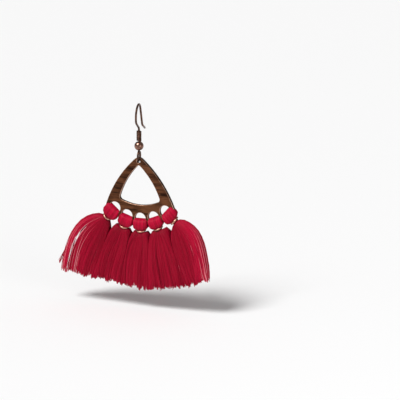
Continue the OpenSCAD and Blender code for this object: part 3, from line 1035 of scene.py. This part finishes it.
def build_skirt(i, settings):
    """The loose threads below the neck ring, which end in small tufts of uneven length."""
    chance = random.Random(settings.seed * SKIRT_SEED + i)
    lines_between = partings()
    rows = [row_at(SKIRT_ROWS, station) for station in SKIRT_STATIONS]
    edges = tuft_edges(chance, TUFT_SPAN)
    cuts = [chance.uniform(*TUFT_CUT) for edge in edges]
    shades = [chance.uniform(-TUFT_SHADE, TUFT_SHADE) for edge in edges]
    grooves = {side: [chance.uniform(GROOVE_FROM, 1.0) for k in range(GROOVES)] for side in (-1, 1)}
    lines = []
    tints = []
    for k in range(settings.threads):
        side = chance.choice((-1, 1))
        share = ((k + chance.random()) / settings.threads) ** (LEFT_CROWDING if i == 0 else 1)
        across, past, aside = spread_out(i, share)
        line = thread_line(i, across)
        reach = (line[3] - line[0]).length
        outside = chance.random() < SHELL_SHARE
        shell = chance.uniform(SHELL_FROM, 1.0) if outside else chance.uniform(0, SHELL_FROM)
        groove = float(np.interp((aside + EDGE_W) / GROOVE_W, range(GROOVES), grooves[side]))
        depth = side * shell * groove * roundness(across, past)
        seen = aside + TUFT_START + SIGHT_ASIDE * depth * rows[-1][1] * SKIRT_DEPTH
        tuft = bisect.bisect_right(edges, seen) - 1
        middle = (edges[tuft] + edges[min(tuft + 1, len(edges) - 1)]) / 2 - seen
        end = 1 + settings.ragged * (cuts[tuft] + chance.gauss(*THREAD_CUT)) / reach
        sway = [chance.gauss(0, SWAY) for m in range(3)]
        if chance.random() < STRAYS:
            sway = [value * STRAY_SWAY for value in sway]
            end += STRAY_CUT * settings.ragged / reach
        shoulder = settings.shoulder * (SMALL_SHOULDER if i in (0, 4) else 1) * abs(2 * across - 1) ** 3
        gather = LEFT_GATHER if i == 0 and across < LEFT_GATHER_W else GATHER
        points = [
            skirt_point(i, line, past, end * station, row, depth)
            for station, row in zip(SKIRT_STATIONS, rows)
        ]
        shape_thread(points, sway, middle * gather, shoulder)
        if i == 0 and k < WISPS:
            curl_wisp(points, chance)
        in_slit = i == 0 and abs(beside(LONG_SLIT, points)) < NEAR_SLIT
        loose = chance.random() < (LOOSE_NEAR_SLIT if in_slit else LOOSE)
        if i == 0 and not loose:
            parted(points, chance.gauss(0, SLIT_SIDE_SPREAD))
        for spot in points:
            spot[0] = held_in(i, spot[0], spot[2], lines_between)
        lines.append([HUNG @ spot for spot in points])
        # The outer threads at the fringe's edges, the glints and the loose threads by the slit are
        # lighter: painted highlights.
        outer = {0: 1 - across, 4: across}.get(i, 0)
        glint = chance.random() < (LOOSE_GLINTS if loose else GLINTS) * outer**1.5
        tone = SKIRT_TINT + shades[tuft] + OUTER_HIGHLIGHT_TINT * outer**3 * shell
        tone = min(TINT_TOP, max(0, chance.gauss(tone, TINT_SPREAD)))
        tints.append(SLIT_HIGHLIGHT_TINT if in_slit and loose else GLINT_TINT if glint else tone)
    # Painted shade along the threads: darker near the neck, lighter towards the hem.
    painted_shade = [SKIRT_PAINTED_SHADE * (station - PAINTED_SHADE_MIDDLE) for station in SKIRT_STATIONS]
    radius = settings.thread / 2
    return thread_mesh("tassel_%d_skirt" % (i + 1), lines, tints, painted_shade, radius, thin_start=0.5)


def head_rows(i):
    """The sections of a head and its neck: place along them, width and depth."""
    wide = CORNER_HEAD_W if i in (0, 4) else HEAD_W
    bottom = neck_bottom(i)
    neck = 2 * NECK_R
    rows = [(place, width * wide, depth * HEAD_DEPTH) for place, width, depth in HEAD_ROWS]
    rows += [((ring_drop(i) - RING_ROOM) / bottom, neck, neck), (ring_drop(i) / bottom, neck, neck)]
    return rows + [(1, neck, neck), (PAST_NECK, neck, neck)]


def head_middle(i, place):
    """The middle of a head at a place between the hole's middle and the neck's end."""
    head_tilt, tilt = TASSELS[i][:2]
    bend = (head_tilt - tilt) * max(1 - place * 2, 0)
    neck_top = (ring_drop(i) - RING_ROOM) / neck_bottom(i)
    out = {0: -1, 4: 1}.get(i, 0) * CORNER_HEAD_OUT * max(1 - place / neck_top, 0)
    return place * neck_bottom(i) * down(bend) + Vector((out, 0))


def build_head(i, settings):
    """The threads that fold over the rim of the hole, down to the neck ring."""
    chance = random.Random(settings.seed * HEAD_SEED + i)
    place = hung_at(i, HOLES[i])
    rows = head_rows(i)
    radius = settings.thread * HEAD_THREAD_R
    lines = []
    tints = []
    for k in range(settings.head_threads):
        across = sin(mix(-HEAD_SPREAD, HEAD_SPREAD, (k + chance.random()) / settings.head_threads))
        inner = 1 - HEAD_INSET * (k % 2) - HEAD_UNEVEN * chance.random()
        fold = (1 - abs(across) ** FOLD_SQUARE) ** (1 / FOLD_SQUARE)
        if k % STRAND_THREADS == 0:
            strand = chance.gauss(*STRAND_TINT)
        points = []
        for side in (-1, 1):
            part = []
            sag = SAG_MIDDLE - SAG_FRONT * side * fold
            for station in HEAD_STATIONS:
                row = min(station, SAG_FROM) + max(0, station - SAG_FROM) / sag
                width, depth = row_at(rows, row)
                middle = head_middle(i, station)
                wave = HEAD_WAVE * chance.uniform(-1, 1)
                u = middle[0] + across * (width / 2 - radius) * inner + wave
                part.append(place @ Vector((u, side * (depth / 2 - radius) * fold * inner, middle[1])))
            points += part if side < 0 else part[::-1]
            if side < 0:
                points.append(place @ Vector((u, 0, middle[1] + FOLD_RISE * inner)))
        lines.append(points)
        tints.append(min(HEAD_TINT_TOP, chance.gauss(strand, HEAD_TINT_SPREAD)))
    # Painted light and shade: lighter at the fold, darker towards the neck.
    half = [HEAD_PAINTED_LIGHT_TOP - HEAD_PAINTED_SHADE_DROP * station**2 for station in HEAD_STATIONS]
    painted_shade = half + [HEAD_PAINTED_LIGHT_TOP] + half[::-1]
    return thread_mesh("tassel_%d_head" % (i + 1), lines, tints, painted_shade, radius, thin_start=0.9)


def build_core(i):
    """The closed inside of a tassel, under its outer threads."""
    bm = bmesh.new()
    lines_between = partings()
    first = LEFT_CORE_FROM if i == 0 else CORE_FROM
    spread = [mix(first, CORE_TO, k / (CORE_POINTS - 1)) for k in range(CORE_POINTS)]
    rings = []
    for t in CORE_LEVELS:
        row = row_at(SKIRT_ROWS, t)
        ring = []
        for side, shares in ((-1, spread), (1, spread[::-1])):
            for share in shares:
                across, past = spread_out(i, share)[:2]
                size = CORE_END_DEPTH if share in (spread[0], spread[-1]) else CORE_DEPTH
                depth = side * size * roundness(across, past)
                spot = skirt_point(i, thread_line(i, across), past, t, row, depth)
                u = held_in(i, spot[0], spot[2], lines_between)
                if i == 0:
                    for slit in (LONG_SLIT, SHORT_SLIT):
                        offset, half = slit_offset(slit, (u, spot[1], spot[2]))
                        u += max(0, half + SLIT_CORE_GAP - offset)
                ring.append(HUNG @ Vector((u, spot[1], spot[2])))
        rings.append(ring)
    skin_rings(bm, rings)
    place = hung_at(i, HOLES[i])
    rows = head_rows(i)
    angles = [360 / CORE_HEAD_SIDES * (k + 0.5) for k in range(CORE_HEAD_SIDES)]
    rings = []
    for station in CORE_HEAD_LEVELS:
        width, depth = [CORE_HEAD_SIZE * size for size in row_at(rows, station)]
        middle = head_middle(i, station)
        rings.append([
            place @ Vector((middle[0] + width * cos(a), depth * sin(a), middle[1])) for a in angles
        ])
    skin_rings(bm, rings)
    mesh = solid_mesh("tassel_%d_core" % (i + 1), bm)
    # The core's silk is painted darker than the outer threads: painted shade inside the tassel.
    add_tint(mesh, [CORE_SHADE_TINT] * len(mesh.vertices))
    return mesh


def skin_rings(bm, rings):
    """A closed skin from ring to ring, each extruded from the last."""
    verts = bmesh.ops.create_circle(bm, segments=len(rings[0]), radius=MM)["verts"]
    for vert, point in zip(verts, rings[0]):
        vert.co = point
    edges = each_once(edge for vert in verts for edge in vert.link_edges)
    first = edges
    for ring in rings[1:]:
        order = {vert: k for k, vert in enumerate(verts)}
        fresh, edges = extruded(bm, edges)
        above = {}
        for vert in fresh:
            for edge in vert.link_edges:
                other = edge.other_vert(vert)
                if other in order:
                    above[order[other]] = vert
        verts = [above[k] for k in range(len(ring))]
        for vert, point in zip(verts, ring):
            vert.co = point
    cap(bm, first)
    cap(bm, edges)


# Operators


class EARRING_OT_hook(bpy.types.Operator):
    """Bends the ear wire and adds its coil and its bead"""

    bl_idname = "earring.hook"
    bl_label = "Ear Wire, Coil and Bead"

    def execute(self, context):
        settings = context.scene.earring_hook
        dark = shade(settings.copper, 0.45)
        wire = aged_metal("darkened copper wire", dark, settings.copper, rough=0.32)
        dark = shade(settings.shine, 0.42)
        shine = aged_metal("rubbed copper bead", dark, settings.shine, rough=0.26)
        add_piece("ear_wire", build_ear_wire(settings), HOOK_BODY, ["ear_hook"], [wire])
        add_piece("coil", build_coil(settings), HOOK_BODY, ["hook_coil"], [wire])
        add_piece("bead", build_bead(), HOOK_BODY, ["hook_bead"], [shine])
        return {"FINISHED"}


class EARRING_OT_plate(bpy.types.Operator):
    """Cuts the triangular copper frame with its eye, opening and five holes"""

    bl_idname = "earring.plate"
    bl_label = "Copper Frame"

    def execute(self, context):
        settings = context.scene.earring_plate
        face = brushed_plate("brushed antique copper", settings.dark, settings.warm)
        # The rim's lighter copper is partly real wear and partly a painted highlight.
        rim = aged_metal("worn copper edge with painted highlight", (0.30, 0.15, 0.09), (0.62, 0.38, 0.27), rough=0.30)
        # The wall's darker copper is a painted shade.
        wall = aged_metal("copper wall with painted shade", (0.04, 0.02, 0.014), (0.13, 0.07, 0.045), rough=0.36)
        add_piece("frame_plate", build_plate(settings), DROP_BODY, ["frame"], [face, rim, wall])
        return {"FINISHED"}


class EARRING_OT_rings(bpy.types.Operator):
    """Puts a copper ring round the neck of each tassel"""

    bl_idname = "earring.rings"
    bl_label = "Neck Rings"

    def execute(self, context):
        shine = context.scene.earring_hook.shine
        # The rings' copper is painted far lighter than the bead's: a painted highlight.
        copper = aged_metal("pink copper ring with painted highlight", shade(shine, 1.5), shade(shine, 2.3), rough=0.36)
        for i in range(5):
            name = "tassel_ring_%d" % (i + 1)
            node = "neck_ring_%d" % (i + 1)
            add_piece(name, build_ring(i), DROP_BODY, [node], [copper])
        return {"FINISHED"}


class EARRING_OT_tassels(bpy.types.Operator):
    """Folds silk threads over each hole's rim and lets them hang as skirts"""

    bl_idname = "earring.tassels"
    bl_label = "Silk Tassels"

    def execute(self, context):
        settings = context.scene.earring_silk
        floss = silk("crimson silk floss", settings.crimson)
        for i in range(5):
            node = "tassel_%d" % (i + 1)
            for mesh in (build_core(i), build_head(i, settings), build_skirt(i, settings)):
                add_piece(mesh.name, mesh, DROP_BODY, [node], [floss])
        return {"FINISHED"}


class EARRING_OT_stage(bpy.types.Operator):
    """Lays the pale floor and sets the lights and the camera"""

    bl_idname = "earring.stage"
    bl_label = "Floor, Lights and Camera"

    def execute(self, context):
        settings = context.scene.earring_stage
        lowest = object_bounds()[0][2]
        bm = bmesh.new()
        bmesh.ops.create_grid(bm, x_segments=1, y_segments=1, size=FLOOR_HALF)
        bmesh.ops.translate(bm, verts=bm.verts, vec=(0, 0, lowest - FLOOR_DROP))
        floor = new_object("floor", to_mesh("floor", bm))
        material, nodes = new_material("pale floor")[:2]
        set_inputs(nodes["Principled BSDF"], {"Base Color": (*settings.floor, 1), "Roughness": 0.9})
        floor.data.materials.append(material)
        floor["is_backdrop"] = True
        world = bpy.data.worlds.new("pale room")
        world.use_nodes = True
        room = world.node_tree.nodes["Background"]
        set_inputs(room, {"Color": (1, 1, 1, 1), "Strength": ROOM_LIGHT})
        context.scene.world = world
        context.scene.view_settings.view_transform = "Standard"
        for name, kind, place, size, power in LIGHTS:
            light = bpy.data.lights.new(name, kind)
            light.energy = power
            if kind == "SUN":
                light.angle = size
            else:
                light.size = size
            lamp = new_object(name, light)
            lamp.location = PICTURE_MIDDLE + Vector(place)
            lamp.rotation_euler = (-Vector(place)).to_track_quat("-Z", "Y").to_euler()
        camera = new_object("camera", bpy.data.cameras.new("camera"))
        camera.data.lens = settings.lens
        camera.data.clip_start = NEAR_CLIP
        level = cos(VIEW_RISE)
        back = Vector((sin(VIEW_TURN) * level, -cos(VIEW_TURN) * level, sin(VIEW_RISE)))
        camera.location = PICTURE_MIDDLE + back * settings.distance
        camera.rotation_euler = (-back).to_track_quat("-Z", "Y").to_euler()
        context.scene.camera = camera
        return {"FINISHED"}


class EARRING_PT_panel(bpy.types.Panel):
    """The earring's steps, in the order they are made"""

    bl_idname = "EARRING_PT_panel"
    bl_label = "Tassel Earring"
    bl_space_type = "VIEW_3D"
    bl_region_type = "UI"
    bl_category = "Earring"

    def draw(self, context):
        for operator in OPERATORS:
            self.layout.operator(operator.bl_idname)
        for group in ("earring_hook", "earring_plate", "earring_silk", "earring_stage"):
            settings = getattr(context.scene, group)
            box = self.layout.box()
            for name in settings.bl_rna.properties.keys():
                if name not in ("rna_type", "name"):
                    box.prop(settings, name)


GROUPS = {
    "earring_hook": HookSettings,
    "earring_plate": PlateSettings,
    "earring_silk": SilkSettings,
    "earring_stage": StageSettings,
}
OPERATORS = (
    EARRING_OT_hook,
    EARRING_OT_plate,
    EARRING_OT_rings,
    EARRING_OT_tassels,
    EARRING_OT_stage,
)


def register():
    for group in GROUPS.values():
        bpy.utils.register_class(group)
    for name, group in GROUPS.items():
        setattr(bpy.types.Scene, name, PointerProperty(type=group))
    for operator in OPERATORS:
        bpy.utils.register_class(operator)
    bpy.utils.register_class(EARRING_PT_panel)


def unregister():
    bpy.utils.unregister_class(EARRING_PT_panel)
    for operator in reversed(OPERATORS):
        bpy.utils.unregister_class(operator)
    for name in GROUPS:
        delattr(bpy.types.Scene, name)
    for group in GROUPS.values():
        bpy.utils.unregister_class(group)


def main():
    register()
    bpy.ops.earring.hook()
    bpy.ops.earring.plate()
    bpy.ops.earring.rings()
    bpy.ops.earring.tassels()
    bpy.ops.earring.stage()


if __name__ == "__main__":
    main()
